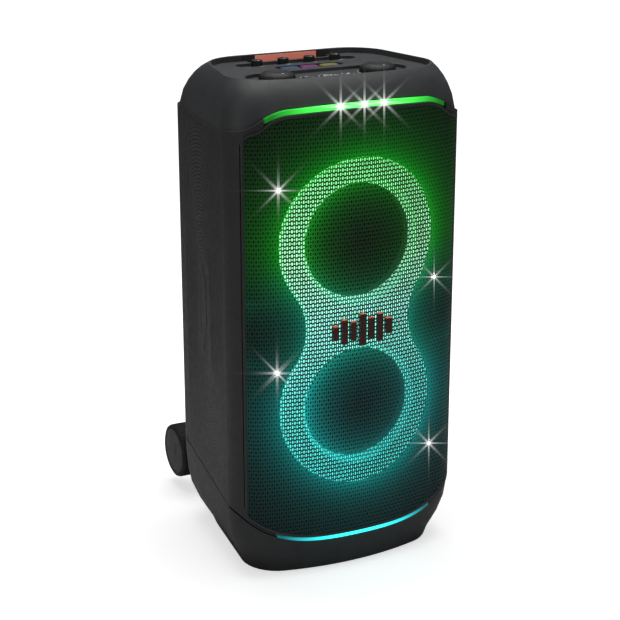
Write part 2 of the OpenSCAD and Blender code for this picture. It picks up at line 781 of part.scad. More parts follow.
// Two arms behind the base, joined by a sloping cover.
module wheel_carrier() {
    top = [[rear_y - 20, 104], [rear_y, 100], [axle_y - 4, axle_z + 17]];
    color(colour_dark) difference() {
        union() {
            for (s = [-1, 1]) translate([s * arm_x - arm_w / 2, 0, 0]) rotate([90, 0, 90])
                linear_extrude(arm_w) {
                    translate([axle_y, axle_z]) circle(18);
                    polygon(concat(top, [[axle_y, axle_z - 18], [rear_y, 36], [rear_y - 20, 36]]));
                }
            translate([-arm_x, 0, 0]) rotate([90, 0, 90]) linear_extrude(2 * arm_x)
                polygon(concat(top, [[axle_y - 6, axle_z + 12], [rear_y, 94], [rear_y - 20, 98]]));
        }
        base_outside();
        axle_line(400) cylinder(r = axle_r, h = 400);
    }
}

module axle_line(length) { translate([-length / 2, axle_y, axle_z]) rotate([0, 90, 0]) children(); }

axle_len = 2 * wheel_out - 12;
module wheel_axle() { color(colour_steel) axle_line(axle_len) cylinder(r = axle_r, h = axle_len); }

// A wheel around its own axis, with a dished disc and a raised hub.
module wheel() {
    rotate_extrude() polygon([[axle_r + run_fit, 1], [13, 1], [13, 4], [26, 4], [26, 1], [wheel_r - 4, 1],
        [wheel_r - 1.2, 2.4], [wheel_r, 5], [wheel_r, wheel_w - 5], [wheel_r - 1.2, wheel_w - 2.2],
        [wheel_r - 5, wheel_w - 0.5], [wheel_r - 9, wheel_w - 1], [wheel_r - 9.5, wheel_w - 2.5],
        [10, wheel_w - 2.5], [8, wheel_w], [0, wheel_w], [0, wheel_w - 5], [axle_r + run_fit, wheel_w - 5]]);
}
module left_wheel() {
    color("#1a1b1c") translate([-wheel_in, axle_y, axle_z]) rotate([0, -90, 0]) wheel();
}
module right_wheel() {
    color("#1a1b1c") translate([wheel_in, axle_y, axle_z]) rotate([0, 90, 0]) wheel();
}

cabinet_shell();
front_baffle();
base_shell();
rubber_feet();
top_cap();
control_panel();
front_grille();
badge();
side_inlays();
light_ring();
ring_light_board();
top_light_bar();
bottom_light_bar();
strobe_lights();
upper_woofer_basket();
upper_woofer_magnet();
upper_woofer_cone();
upper_woofer_surround();
upper_woofer_spider();
lower_woofer_basket();
lower_woofer_magnet();
lower_woofer_cone();
lower_woofer_surround();
lower_woofer_spider();
screws();
tweeter_horns();
tweeter_domes();
tweeter_motors();
port_tube();
io_panel();
input_jacks();
mains_inlet();
battery_bay();
battery_pack();
battery_door();
amplifier_board();
heat_sink();
control_board();
mic_volume_knob();
echo_knob();
bass_knob();
treble_knob();
volume_dial();
light_dial();
power_button();
pairing_button();
play_button();
effect_pad_blue();
effect_pad_pink();
effect_pad_yellow();
handle_sleeves();
handle_middle_tubes();
handle_inner_tubes();
handle_grip();
handle_pad();
handle_button();
wheel_carrier();
wheel_axle();
left_wheel();
right_wheel();
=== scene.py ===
"""Party speaker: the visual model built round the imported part. Metres, front is -Y, floor at Z = 0."""

import json
import math

import bmesh
import bpy
import numpy as np
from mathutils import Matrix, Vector


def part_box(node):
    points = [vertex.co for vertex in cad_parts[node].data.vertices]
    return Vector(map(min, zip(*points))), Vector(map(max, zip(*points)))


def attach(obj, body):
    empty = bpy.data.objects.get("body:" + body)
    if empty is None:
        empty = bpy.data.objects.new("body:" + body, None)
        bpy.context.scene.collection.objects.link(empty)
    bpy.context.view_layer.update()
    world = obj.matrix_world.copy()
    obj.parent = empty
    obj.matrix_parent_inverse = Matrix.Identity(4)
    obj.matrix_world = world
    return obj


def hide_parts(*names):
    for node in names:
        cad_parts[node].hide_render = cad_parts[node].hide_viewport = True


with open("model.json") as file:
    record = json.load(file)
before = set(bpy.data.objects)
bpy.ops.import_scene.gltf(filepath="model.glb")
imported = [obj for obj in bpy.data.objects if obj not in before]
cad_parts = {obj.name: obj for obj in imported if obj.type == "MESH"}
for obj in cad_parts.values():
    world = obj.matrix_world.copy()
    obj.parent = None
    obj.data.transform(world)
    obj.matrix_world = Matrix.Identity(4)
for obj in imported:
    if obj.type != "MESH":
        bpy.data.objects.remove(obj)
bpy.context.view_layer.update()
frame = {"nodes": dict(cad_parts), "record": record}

RECORD = frame["record"]
SLOT_COLOUR = {m["slot"]: m["base_color"] for m in RECORD["materials"]}
NODE_SLOT = {p["node"]: p["material_slot"] for p in RECORD["subparts"]}
MM = 0.001


# ---- places read from the frame --------------------------------------------------------------

def centre(node):
    lo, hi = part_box(node)
    return (lo + hi) / 2


BODY_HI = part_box("cabinet_shell")[1]
CAP_LO, CAP_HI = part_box("top_cap")
BASE_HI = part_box("base_shell")[1]
GRILLE_LO, GRILLE_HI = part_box("front_grille")
DECK_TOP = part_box("control_panel")[1].z
UPPER = centre("upper_woofer_cone")
LOWER = centre("lower_woofer_cone")
HALF_W = round(BODY_HI.x, 3)
REAR_Y = BODY_HI.y
CORNER_R = 0.045                      # front vertical corners
CORNER_X = HALF_W - CORNER_R
CORNER_Y = -0.087                     # where the front corners end
TAPER = math.asin(0.014 / 0.172)      # how far the sides turn inwards to the rear
BOW = math.radians(15)                # half angle of the bowed front
TIP_X = CORNER_X + CORNER_R * math.sin(BOW)
BOW_R = TIP_X / math.sin(BOW)
BOW_Y = CORNER_Y - CORNER_R * math.cos(BOW) + BOW_R * math.cos(BOW)
BOW_LEN = BOW_R * BOW
RING_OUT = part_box("light_ring")[1].x
RING_IN = 0.075                       # radius of the light band's inner edge
WAIST = 0.075                         # half width of the band between the two circles
FUNNEL_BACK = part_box("light_ring")[1].y - 0.0128   # where the lit funnel ends and the plain bore starts
DECK_FLOOR = DECK_TOP - 0.0038        # floor of the deck's recesses


def front_point(s, inset=0.0):
    """Plan point on the bowed front, or inset behind it, at arc length s from the middle."""
    s = np.asarray(s, float)
    side = np.sign(s)
    a = np.abs(s)
    bow_angle = np.minimum(a, BOW_LEN) / BOW_R
    x = (BOW_R - inset) * np.sin(bow_angle)
    y = BOW_Y - (BOW_R - inset) * np.cos(bow_angle)
    turn = BOW + np.maximum(a - BOW_LEN, 0) / CORNER_R
    corner = a > BOW_LEN
    x = np.where(corner, CORNER_X + (CORNER_R - inset) * np.sin(turn), x)
    y = np.where(corner, CORNER_Y - (CORNER_R - inset) * np.cos(turn), y)
    return side * x, y


def x_of_s(s):
    return front_point(s)[0]


def s_of_x(x):
    """Arc length on the front face at distance x from the middle."""
    a = abs(x)
    if a <= TIP_X:
        s = BOW_R * math.asin(a / BOW_R)
    else:
        s = BOW_LEN + CORNER_R * (math.asin(min(1.0, (a - CORNER_X) / CORNER_R)) - BOW)
    return math.copysign(s, x)


def ease(v):
    c = np.clip(v, 0, 1)
    return c * c * (3 - 2 * c)


SEAM_Z = CAP_LO.z
GRILLE_X = GRILLE_HI.x
LOW_BAR_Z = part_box("bottom_light_bar")[0].z + 0.0018


def bar_mid(x):
    """Height of the top light bar's middle line."""
    a = np.abs(x)
    return SEAM_Z + 0.026 * (1 - ease((a - 0.095) / 0.080)) + 0.003 * np.maximum(0, 1 - (a / 0.095) ** 2)


def base_front(x):
    """Height of the base's front edge, which the lower light bar follows."""
    return LOW_BAR_Z + 0.050 * (np.abs(x) / HALF_W) ** 3.8


def corner_drop(x, r):
    """How far a corner of radius r cuts into the grille's height at x."""
    u = np.maximum(0, np.abs(x) - (GRILLE_X - r))
    return r - np.sqrt(np.maximum(0, r * r - u * u))


def grille_top(x):
    """Upper edge of the grille: under the light bar in the middle, under the cap at the sides."""
    flat = SEAM_Z + 0.004 - corner_drop(x, 0.018) + 0.100 * np.maximum(0, 1 - np.abs(x) / 0.138)
    return np.minimum(bar_mid(x) - 0.0034, flat)


def grille_low(x):
    """Lower edge of the grille: over the base's front edge, with round corners."""
    flat = 0.063 + corner_drop(x, 0.045) - 0.100 * np.maximum(0, 1 - np.abs(x) / 0.111)
    return np.maximum(base_front(x) + 0.003, flat)


def ring_distance(x, z):
    """Distances from the light band (negative on it), the nearer woofer's axis and the band's outer edge."""
    mid, rise = (UPPER.z + LOWER.z) / 2, (UPPER.z - LOWER.z) / 2
    to_upper = np.hypot(x, z - UPPER.z)
    to_lower = np.hypot(x, z - LOWER.z)
    near = np.minimum(to_upper, to_lower)
    fillet = (rise * rise + WAIST * WAIST - RING_OUT * RING_OUT) / (2 * (RING_OUT - WAIST))
    cut = WAIST + fillet
    touch = RING_OUT / (RING_OUT + fillet)
    waist_zone = (np.abs(z - mid) < rise * (1 - touch)) & (np.abs(x) < cut)
    outside = np.where(waist_zone, fillet - np.hypot(np.abs(x) - cut, z - mid), near - RING_OUT)
    inside = RING_IN - near
    return np.maximum(outside, inside), near, outside


# ---- mesh and material helpers ---------------------------------------------------------------

def make_mesh(name, points, faces, material, slot=None, smooth=True):
    mesh = bpy.data.meshes.new(name)
    mesh.from_pydata(np.asarray(points, float).tolist(), [], [tuple(f) for f in faces])
    mesh.validate()
    if smooth:
        mesh.shade_smooth()
    mesh.materials.append(material)
    obj = bpy.data.objects.new(name, mesh)
    bpy.context.scene.collection.objects.link(obj)
    return obj


def grid_faces(rows, cols, wrap=False):
    faces = []
    last = cols if wrap else cols - 1
    for r in range(rows - 1):
        for c in range(last):
            d = (c + 1) % cols
            faces.append((r * cols + c, r * cols + d, (r + 1) * cols + d, (r + 1) * cols + c))
    return faces


def join_meshes(parts):
    """Joins (points, faces) pairs into one pair."""
    points, faces, start = [], [], 0
    for p, f in parts:
        points.append(np.asarray(p, float))
        faces.extend(tuple(i + start for i in face) for face in f)
        start += len(p)
    return np.vstack(points), faces


def lathe(profile, count, place, radial=None):
    """Turns a profile of (radius, height) about local Z. radial(angle, radius, height) changes the radius."""
    pts = []
    for k in range(count):
        a = 2 * math.pi * k / count
        for r, h in profile:
            rr = radial(a, r, h) if radial else r
            pts.append(place(rr * math.cos(a), rr * math.sin(a), h))
    n = len(profile)
    faces = []
    for k in range(count):
        j = (k + 1) % count
        for i in range(n - 1):
            faces.append((k * n + i, j * n + i, j * n + i + 1, k * n + i + 1))
    if profile[0][0] < 1e-6 or profile[-1][0] < 1e-6:
        pts, faces = merge_points(pts, faces)
    return np.array(pts), faces


def merge_points(points, faces):
    keys, remap, kept = {}, [], []
    for p in points:
        key = tuple(round(c, 7) for c in p)
        if key not in keys:
            keys[key] = len(kept)
            kept.append(p)
        remap.append(keys[key])
    out = []
    for f in faces:
        g = []
        for i in f:
            if remap[i] not in g:
                g.append(remap[i])
        if len(g) > 2:
            out.append(tuple(g))
    return np.array(kept), out


def fix_normals(obj):
    bm = bmesh.new()
    bm.from_mesh(obj.data)
    bmesh.ops.recalc_face_normals(bm, faces=bm.faces)
    bm.to_mesh(obj.data)
    bm.free()


def box_mesh(mid, size):
    dx, dy, dz = (c / 2 for c in size)
    pts = [(mid.x + sx * dx, mid.y + sy * dy, mid.z + sz * dz)
           for sz in (-1, 1) for sy in (-1, 1) for sx in (-1, 1)]
    faces = [(0, 2, 3, 1), (4, 5, 7, 6), (0, 1, 5, 4), (2, 6, 7, 3), (0, 4, 6, 2), (1, 3, 7, 5)]
    return pts, faces


def tube_ring(mid, r_in, r_out, height, a0=0.0, a1=2 * math.pi, count=36):
    """A flat ring, arc or disc standing on mid."""
    full = abs(a1 - a0 - 2 * math.pi) < 1e-6
    steps = count if full else count + 1
    pts = []
    for k in range(steps):
        a = a0 + (a1 - a0) * k / count
        for r, h in ((r_in, 0), (r_out, 0), (r_out, height), (r_in, height)):
            pts.append((mid.x + r * math.cos(a), mid.y + r * math.sin(a), mid.z + h))
    faces = []
    for k in range(count):
        j = (k + 1) % steps
        for i in range(4):
            m = (i + 1) % 4
            faces.append((k * 4 + i, j * 4 + i, j * 4 + m, k * 4 + m))
    if not full:
        faces += [(0, 1, 2, 3), tuple(count * 4 + i for i in (3, 2, 1, 0))]
    return merge_points(pts, faces)


def kept_part(points, faces, keep):
    """The faces whose corners are all kept, with only the points that they use."""
    faces = [f for f in faces if all(keep[i] for i in f)]
    used = sorted({i for f in faces for i in f})
    lookup = {old: new for new, old in enumerate(used)}
    return used, points[used], [tuple(lookup[i] for i in f) for f in faces]


def loop_faces(rows, cols):
    """Faces of a closed tube whose rows are loops and whose last row joins the first."""
    last = (rows - 1) * cols
    faces = grid_faces(rows, cols, wrap=True)
    return faces + [(last + i, last + (i + 1) % cols, (i + 1) % cols, i) for i in range(cols)]


def edge_round(obj, width, angle=35, segments=3):
    bevel = obj.modifiers.new("edges", "BEVEL")
    bevel.width = width
    bevel.segments = segments
    bevel.limit_method = "ANGLE"
    bevel.angle_limit = math.radians(angle)
    bevel.use_clamp_overlap = True
    bevel.harden_normals = False
    shade = obj.modifiers.new("shade", "WEIGHTED_NORMAL")
    shade.keep_sharp = True
    shade.weight = 60


class Shader:
    """A Principled material and short calls to wire nodes into it."""

    def __init__(self, name):
        self.material = bpy.data.materials.new(name)
        self.material.use_nodes = True
        self.tree = self.material.node_tree
        self.bsdf = self.tree.nodes["Principled BSDF"]
        self.coords = self.node("ShaderNodeTexCoord")

    def node(self, kind, **values):
        n = self.tree.nodes.new(kind)
        for key, value in values.items():
            setattr(n, key, value)
        return n

    def link(self, a, b):
        self.tree.links.new(a, b)

    def noise(self, scale, detail=3.0, rough=0.55):
        n = self.node("ShaderNodeTexNoise")
        n.inputs["Scale"].default_value = scale
        n.inputs["Detail"].default_value = detail
        n.inputs["Roughness"].default_value = rough
        self.link(self.coords.outputs["Object"], n.inputs["Vector"])
        return n.outputs["Fac"]

    def spread(self, value, low, high, in_low=0.3, in_high=0.7):
        n = self.node("ShaderNodeMapRange")
        n.inputs["From Min"].default_value = in_low
        n.inputs["From Max"].default_value = in_high
        n.inputs["To Min"].default_value = low
        n.inputs["To Max"].default_value = high
        self.link(value, n.inputs["Value"])
        return n.outputs["Result"]

    def mix(self, factor, a, b):
        n = self.node("ShaderNodeMix", data_type="RGBA")
        self.link(factor, n.inputs["Factor"])
        for value, name in ((a, "A"), (b, "B")):
            socket = [i for i in n.inputs if i.name == name and i.type == "RGBA"][0]
            if isinstance(value, (tuple, list)):
                socket.default_value = (*value[:3], 1)
            else:
                self.link(value, socket)
        return [o for o in n.outputs if o.type == "RGBA"][0]

    def bump(self, height, strength, distance=0.0003):
        n = self.node("ShaderNodeBump")
        n.inputs["Strength"].default_value = strength
        n.inputs["Distance"].default_value = distance
        self.link(height, n.inputs["Height"])
        self.link(n.outputs["Normal"], self.bsdf.inputs["Normal"])

    def axis(self, name):
        n = self.node("ShaderNodeSeparateXYZ")
        self.link(self.coords.outputs["Object"], n.inputs["Vector"])
        return n.outputs[name]


def surface(name, colour, rough, metal=0.0, grain=0.0, grain_scale=1500.0, vary=0.12):
    """A moulded or painted surface: slight tone and roughness variation and a fine grain."""
    s = Shader(name)
    tone = s.noise(35.0)
    dark = [c * (1 - vary) for c in colour]
    light = [min(1.0, c * (1 + vary)) for c in colour]
    s.link(s.mix(s.spread(tone, 0, 1), dark, light), s.bsdf.inputs["Base Color"])
    s.link(s.spread(s.noise(120.0), rough - 0.05, min(1.0, rough + 0.06)), s.bsdf.inputs["Roughness"])
    s.bsdf.inputs["Metallic"].default_value = metal
    if grain:
        s.bump(s.noise(grain_scale, 2.0), grain)
    return s.material


def record_surface(slot, rough, **more):
    return surface(slot, SLOT_COLOUR[slot], rough, **more)


def glow_rgb(z, low, mid, high):
    """Colour at height z: low at the lower woofer, mid at the waist, high at the upper woofer."""
    t = np.clip((np.asarray(z, float) - LOWER.z) / (UPPER.z - LOWER.z), 0, 1)[..., None]
    low, mid, high = (np.array(c, float) for c in (low, mid, high))
    return np.where(t < 0.5, low + (mid - low) * ease(t * 2), mid + (high - mid) * ease(t * 2 - 1))


def set_colours(obj, rgb):
    layer = obj.data.color_attributes.new("Glow", "FLOAT_COLOR", "POINT")
    full = np.ones((len(obj.data.vertices), 4))
    full[:, :3] = rgb
    layer.data.foreach_set("color", full.astype(np.float32).ravel())


def glowing(name, colour, rough, strength, grain=0.0):
    """A dark surface that also shines with its Glow colours: painted light from the ring, given as emission.
    """
    s = Shader(name)
    tone = s.noise(60.0)
    s.link(s.mix(s.spread(tone, 0, 1), [c * 0.85 for c in colour], [c * 1.15 for c in colour]),
           s.bsdf.inputs["Base Color"])
    s.bsdf.inputs["Roughness"].default_value = rough
    # painted light: the Glow colours stand for the ring's light falling on this surface
    glow = s.node("ShaderNodeVertexColor", layer_name="Glow")
    s.link(glow.outputs["Color"], s.bsdf.inputs["Emission Color"])
    s.bsdf.inputs["Emission Strength"].default_value = strength
    s.bsdf.inputs["Specular IOR Level"].default_value = 0.3
    if grain:
        s.bump(s.noise(2500.0, 2.0), grain)
    return s.material


def shade_painted_slot(slot, light_share):
    """The slot's colour, made darker or lighter to suit how much light reaches it."""
    return surface(slot, [min(1.0, c * light_share) for c in SLOT_COLOUR[slot]], 0.5, grain=0.15)


# ---- materials -------------------------------------------------------------------------------

def coral_rubber_painted_glow():
    """The bright insert of the grip; its faint emission is painted light, so it looks lit against the dark
    deck.
    """
    material = surface("orange_rubber", (1.0, 0.30, 0.17), 0.5, grain=0.15)
    bsdf = material.node_tree.nodes["Principled BSDF"]
    # painted light: a faint coral emission stands in for light falling on the insert
    bsdf.inputs["Emission Color"].default_value = (0.22, 0.06, 0.05, 1)
    bsdf.inputs["Emission Strength"].default_value = 1.0
    return material


BAR_STRENGTH = 1.9


def ring_light_material():
    """The diffuser: mint green above, cyan below, slightly mottled like a moulded lens."""
    s = Shader("light_diffuser")
    height = s.spread(s.axis("Z"), 0, 1, LOWER.z - 0.090, UPPER.z + 0.090)
    ramp = s.node("ShaderNodeValToRGB")
    stops = [(0.0, (0.05, 0.62, 0.58)), (0.30, (0.13, 0.78, 0.70)), (0.52, (0.34, 0.94, 0.80)),
             (0.72, (0.42, 0.96, 0.58)), (1.0, (0.22, 0.85, 0.28))]
    ramp.color_ramp.elements[0].position, ramp.color_ramp.elements[0].color = 0.0, (*stops[0][1], 1)
    ramp.color_ramp.elements[1].position, ramp.color_ramp.elements[1].color = 1.0, (*stops[-1][1], 1)
    for at, colour in stops[1:-1]:
        ramp.color_ramp.elements.new(at).color = (*colour, 1)
    s.link(height, ramp.inputs["Fac"])
    s.link(ramp.outputs["Color"], s.bsdf.inputs["Emission Color"])
    lit = s.node("ShaderNodeMath", operation="MULTIPLY")
    s.link(s.spread(s.noise(90.0), 1.15, 1.75), lit.inputs[0])
    aside = s.node("ShaderNodeMath", operation="ABSOLUTE")
    s.link(s.axis("X"), aside.inputs[0])
    front = s.node("ShaderNodeMath", operation="MAXIMUM")
    s.link(s.spread(s.axis("Y"), 1, 0.02, FUNNEL_BACK - 0.0006, FUNNEL_BACK), front.inputs[0])
    s.link(s.spread(aside.outputs[0], 0, 1, RING_IN + 0.010, RING_IN + 0.013), front.inputs[1])
    s.link(front.outputs[0], lit.inputs[1])
    s.link(lit.outputs[0], s.bsdf.inputs["Emission Strength"])
    s.bsdf.inputs["Base Color"].default_value = (0.35, 0.6, 0.5, 1)
    s.bsdf.inputs["Roughness"].default_value = 0.5
    return s.material


def bar_material(name, node, colour, hot):
    """A light bar that is hottest in the middle and fades towards its ends."""
    s = Shader(name)
    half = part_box(node)[1].x
    away = s.node("ShaderNodeMath", operation="ABSOLUTE")
    s.link(s.axis("X"), away.inputs[0])
    fade = s.spread(away.outputs[0], 1.0, 0.0, half * 0.28, half * 0.94)
    s.link(s.mix(fade, colour, hot), s.bsdf.inputs["Emission Color"])
    level = s.node("ShaderNodeMath", operation="MULTIPLY_ADD")
    s.link(fade, level.inputs[0])
    level.inputs[1].default_value = BAR_STRENGTH * 0.94
    level.inputs[2].default_value = BAR_STRENGTH * 0.06
    s.link(level.outputs[0], s.bsdf.inputs["Emission Strength"])
    s.bsdf.inputs["Base Color"].default_value = (*[c * 0.5 for c in colour], 1)
    s.bsdf.inputs["Roughness"].default_value = 0.35
    return s.material


def lamp_material(name, strength):
    s = Shader(name)
    s.bsdf.inputs["Base Color"].default_value = (1, 1, 1, 1)
    s.bsdf.inputs["Roughness"].default_value = 0.2
    s.bsdf.inputs["Emission Color"].default_value = (1, 1, 1, 1)
    s.link(s.spread(s.noise(300.0), strength * 0.9, strength * 1.1), s.bsdf.inputs["Emission Strength"])
    return s.material


def badge_painted_highlight():
    """Brushed dark red metal whose upward faces get a painted highlight: a warm orange colour and emission.
    """
    s = Shader("badge_finish")
    normal = s.node("ShaderNodeSeparateXYZ")
    geometry = s.node("ShaderNodeNewGeometry")
    s.link(geometry.outputs["Normal"], normal.inputs["Vector"])
    # painted highlight: faces turned up are coloured warm orange and made to emit
    up = s.spread(normal.outputs["Z"], 0, 1, 0.05, 0.6)
    face = s.mix(s.spread(s.noise(220.0), 0, 1), (0.060, 0.014, 0.010), (0.095, 0.024, 0.016))
    s.link(s.mix(up, face, (0.75, 0.16, 0.07)), s.bsdf.inputs["Base Color"])
    s.bsdf.inputs["Metallic"].default_value = 0.35
    s.bsdf.inputs["Roughness"].default_value = 0.34
    s.bsdf.inputs["Emission Color"].default_value = (0.9, 0.16, 0.07, 1)
    s.link(s.spread(up, 0.0, 0.35, 0, 1), s.bsdf.inputs["Emission Strength"])
    return s.material


MATERIAL = {
    "charcoal_plastic": record_surface("charcoal_plastic", 0.52, grain=0.25),
    "cap_plastic": record_surface("cap_plastic", 0.46, grain=0.18),
    "black_plastic": record_surface("black_plastic", 0.42, grain=0.15),
    "knob_rubber": record_surface("knob_rubber", 0.55, grain=0.2),
    "rubber": record_surface("rubber", 0.72, grain=0.3),
    "grille_metal": record_surface("grille_metal", 0.5, grain=0.1),
    "circuit_board": record_surface("circuit_board", 0.4),
    "basket_steel": record_surface("basket_steel", 0.45, metal=0.6, grain=0.1),
    "magnet_steel": record_surface("magnet_steel", 0.35, metal=0.8),
    "cone_paper": record_surface("cone_paper", 0.75, grain=0.4, grain_scale=900.0),
    "spider_cloth": record_surface("spider_cloth", 0.9, grain=0.5, grain_scale=2200.0),
    "screw_steel": record_surface("screw_steel", 0.3, metal=0.9),
    "tube_aluminium": record_surface("tube_aluminium", 0.32, metal=0.9, vary=0.05),
    "battery_case": record_surface("battery_case", 0.5, grain=0.15),
    "orange_rubber": coral_rubber_painted_glow(),
    # painted shade: the three pads' colours are darkened to 0.45 to suit the light that reaches them
    "blue_pad": shade_painted_slot("blue_pad", 0.45),
    "pink_pad": shade_painted_slot("pink_pad", 0.45),
    "yellow_pad": shade_painted_slot("yellow_pad", 0.45),
    "wheel_plastic": record_surface("wheel_plastic", 0.5, grain=0.15),
    "white_light": surface("white_light", (0.22, 0.22, 0.22), 0.4, vary=0.05),
    "light_diffuser": ring_light_material(),
    "green_light": bar_material("green_light", "top_light_bar", (0.03, 0.75, 0.05), (0.08, 0.95, 0.10)),
    "cyan_light": bar_material("cyan_light", "bottom_light_bar", (0.01, 0.60, 0.70), (0.03, 0.88, 0.84)),
    "badge_finish": badge_painted_highlight(),
}
MARK_WHITE = surface("mark_white", (0.75, 0.76, 0.76), 0.5, vary=0.03)
GROOVE = surface("groove_black", (0.004, 0.004, 0.004), 0.7, vary=0.05)


# ---- the CAD nodes that are shown as they are ------------------------------------------------

EDGE_WIDTH = {
    "cabinet_shell": 0.0018, "top_cap": 0.0020, "base_shell": 0.0022, "control_panel": 0.0008,
    "handle_grip": 0.0015, "wheel_carrier": 0.0015, "battery_door": 0.0008, "badge": 0.0010,
    "io_panel": 0.0008, "front_baffle": 0.0010, "light_ring": 0.0006, "handle_pad": 0.0006,
    "handle_button": 0.0012, "power_button": 0.0006, "pairing_button": 0.0005, "play_button": 0.0005,
    "rubber_feet": 0.0008, "port_tube": 0.0004, "battery_pack": 0.0020, "battery_bay": 0.0010,
}
SHOWN_PLAIN = 0.0003


def dress_nodes():
    for name, obj in frame["nodes"].items():
        slot = NODE_SLOT[name]
        obj.data.materials.clear()
        obj.data.materials.append(MATERIAL[slot])
        for layer in [a.name for a in obj.data.attributes if a.name == "custom_normal"]:
            obj.data.attributes.remove(obj.data.attributes[layer])
        obj.data.shade_smooth()
        weld = obj.modifiers.new("weld", "WELD")
        weld.merge_threshold = 0.00002
        edge_round(obj, EDGE_WIDTH.get(name, SHOWN_PLAIN), 32, 3 if name in EDGE_WIDTH else 2)


# ---- grille, its rim, and the lit cloth behind it ---------------------------------------------

GRILLE_S = s_of_x(GRILLE_X)
COLUMN = 0.0031                       # distance between the columns of slots
ROW = 0.0053                          # distance between the rows
TALL, SHORT = 0.0032, 0.0021          # half heights of the two kinds of cell, together one row


def to_front(s, z, inset):
    x, y = front_point(s, inset)
    return np.column_stack([x, y, z])


def web_glow(s, z):
    """Light spilling on the mesh round the band, and over each circle from its left."""
    x = x_of_s(s)
    d, near = ring_distance(x, z)[:2]
    circle = RING_IN + 0.005
    d = np.maximum(d, circle - near)
    spill = 0.85 * np.exp(-np.maximum(d, 0) / 0.014) + 0.40 * np.exp(-np.maximum(d, 0) / 0.045)
    rise = np.clip((z - LOWER.z) / (UPPER.z - LOWER.z), 0, 1)
    in_circle = (1.45 - 0.70 * rise) * (0.95 - 0.50 * np.clip(x / RING_IN, -1, 1))
    shade = np.where(near < circle, in_circle, 1.0)
    on_band = np.clip(-d / 0.004, 0, 1)
    level = spill * shade * (1 - 0.80 * on_band)
    rgb = glow_rgb(z, (0.0, 0.112, 0.105), (0.0, 0.110, 0.070), (0.0, 0.150, 0.004))
    return rgb * level[:, None]


def slot_cell(s, z, tall, shared, points, faces):
    """One cell of the mesh: tall slots alternate with short ones along the rows and the columns."""
    w = COLUMN / 2
    h = TALL if tall else SHORT
    lift = 0.0023 if tall else 0.0011
    low = shared(s - w, z - h), shared(s + w, z - h)
    top = shared(s - w, z + h), shared(s + w, z + h)
    if tall:
        right = shared(s + w, z - SHORT), shared(s + w, z + SHORT)
        left = shared(s - w, z - SHORT), shared(s - w, z + SHORT)
        n = len(points)
        hole = [(0, -lift), (0.00102, -lift * 0.72), (0.00102, lift * 0.72), (0, lift),
                (-0.00102, lift * 0.72), (-0.00102, -lift * 0.72)]
        faces += [(low[0], low[1], n), (low[1], right[0], n + 1, n), (right[0], right[1], n + 2, n + 1),
                  (right[1], top[1], n + 3, n + 2), (top[1], top[0], n + 3), (top[0], left[1], n + 4, n + 3),
                  (left[1], left[0], n + 5, n + 4), (left[0], low[0], n, n + 5)]
    else:
        n = len(points)
        hole = [(-0.0007, -lift), (0.0007, -lift), (0.00098, 0),
                (0.0007, lift), (-0.0007, lift), (-0.00098, 0)]
        faces += [(low[0], low[1], n + 1, n), (low[1], top[1], n + 2), (low[1], n + 2, n + 1),
                  (top[1], n + 3, n + 2), (top[1], top[0], n + 4, n + 3), (top[0], low[0], n + 5),
                  (top[0], n + 5, n + 4), (low[0], n, n + 5)]
    points.extend((s + u, z + v) for u, v in hole)


def build_grille():
    """One pressed sheet with slots in offset rows, with the ring's light painted on it."""
    z0, z1 = GRILLE_LO.z, GRILLE_HI.z
    points, faces, index = [], [], {}

    def shared(s, z):
        key = (round(s, 6), round(z, 6))
        if key not in index:
            index[key] = len(points)
            points.append((s, z))
        return index[key]

    rows = int((z1 - z0) / ROW) + 2
    cols = int(GRILLE_S / COLUMN) + 2
    for i in range(-cols, cols + 1):
        s = i * COLUMN
        if abs(s) > GRILLE_S - 0.0032:
            continue
        x = float(x_of_s(s))
        for j in range(rows):
            z = z0 + j * ROW
            if grille_low(x) + 0.0036 < z < grille_top(x) - 0.0036:
                slot_cell(s, z, (i + j) % 2 == 0, shared, points, faces)
    flat = np.array(points)
    xyz = to_front(flat[:, 0], flat[:, 1], 0.0006)
    # painted light: the mesh emits the ring's light spilling onto it; its colour is the grille metal's at
    # 0.45
    material = glowing("grille_metal_lit", [c * 0.45 for c in SLOT_COLOUR["grille_metal"]], 0.5, 1.25)
    obj = make_mesh("grille_mesh", xyz, faces, material, "grille_metal", smooth=False)
    set_colours(obj, web_glow(flat[:, 0], flat[:, 1]))
    thick = obj.modifiers.new("sheet", "SOLIDIFY")
    thick.thickness = 0.0009
    thick.offset = -1 if obj.data.polygons[0].normal.y < 0 else 1
    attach(obj, "cabinet")
    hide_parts("front_grille")


def outline_loop(inset, count_x=140, count_z=60):
    """Closed loop of (s, z) just inside the grille opening."""
    limit = GRILLE_S - inset
    top_s = np.linspace(-limit, limit, count_x)
    xs = x_of_s(top_s)
    top = grille_top(xs) - inset
    low = grille_low(xs) + inset
    right_z = np.linspace(top[-1], low[-1], count_z)[1:-1]
    left_z = np.linspace(low[0], top[0], count_z)[1:-1]
    s = np.concatenate([top_s, np.full(len(right_z), limit), top_s[::-1], np.full(len(left_z), -limit)])
    z = np.concatenate([top, right_z, low[::-1], left_z])
    return s, z


def build_grille_rim():
    """The plain pressed border of the grille, with a rolled inner edge."""
    loops = [(0.0002, 0.0030), (0.0002, 0.0004), (0.0007, 0.00005), (0.0036, 0.00005), (0.0042, 0.0004),
             (0.0042, 0.0024)]
    rings = []
    for inset, depth in loops:
        s, z = outline_loop(inset)
        rings.append(to_front(s, z, depth))
    faces = loop_faces(len(rings), len(rings[0]))
    obj = make_mesh("grille_rim", np.vstack(rings), faces, MATERIAL["grille_metal"], "grille_metal")
    fix_normals(obj)
    edge_round(obj, 0.0002, 40, 2)
    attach(obj, "cabinet")


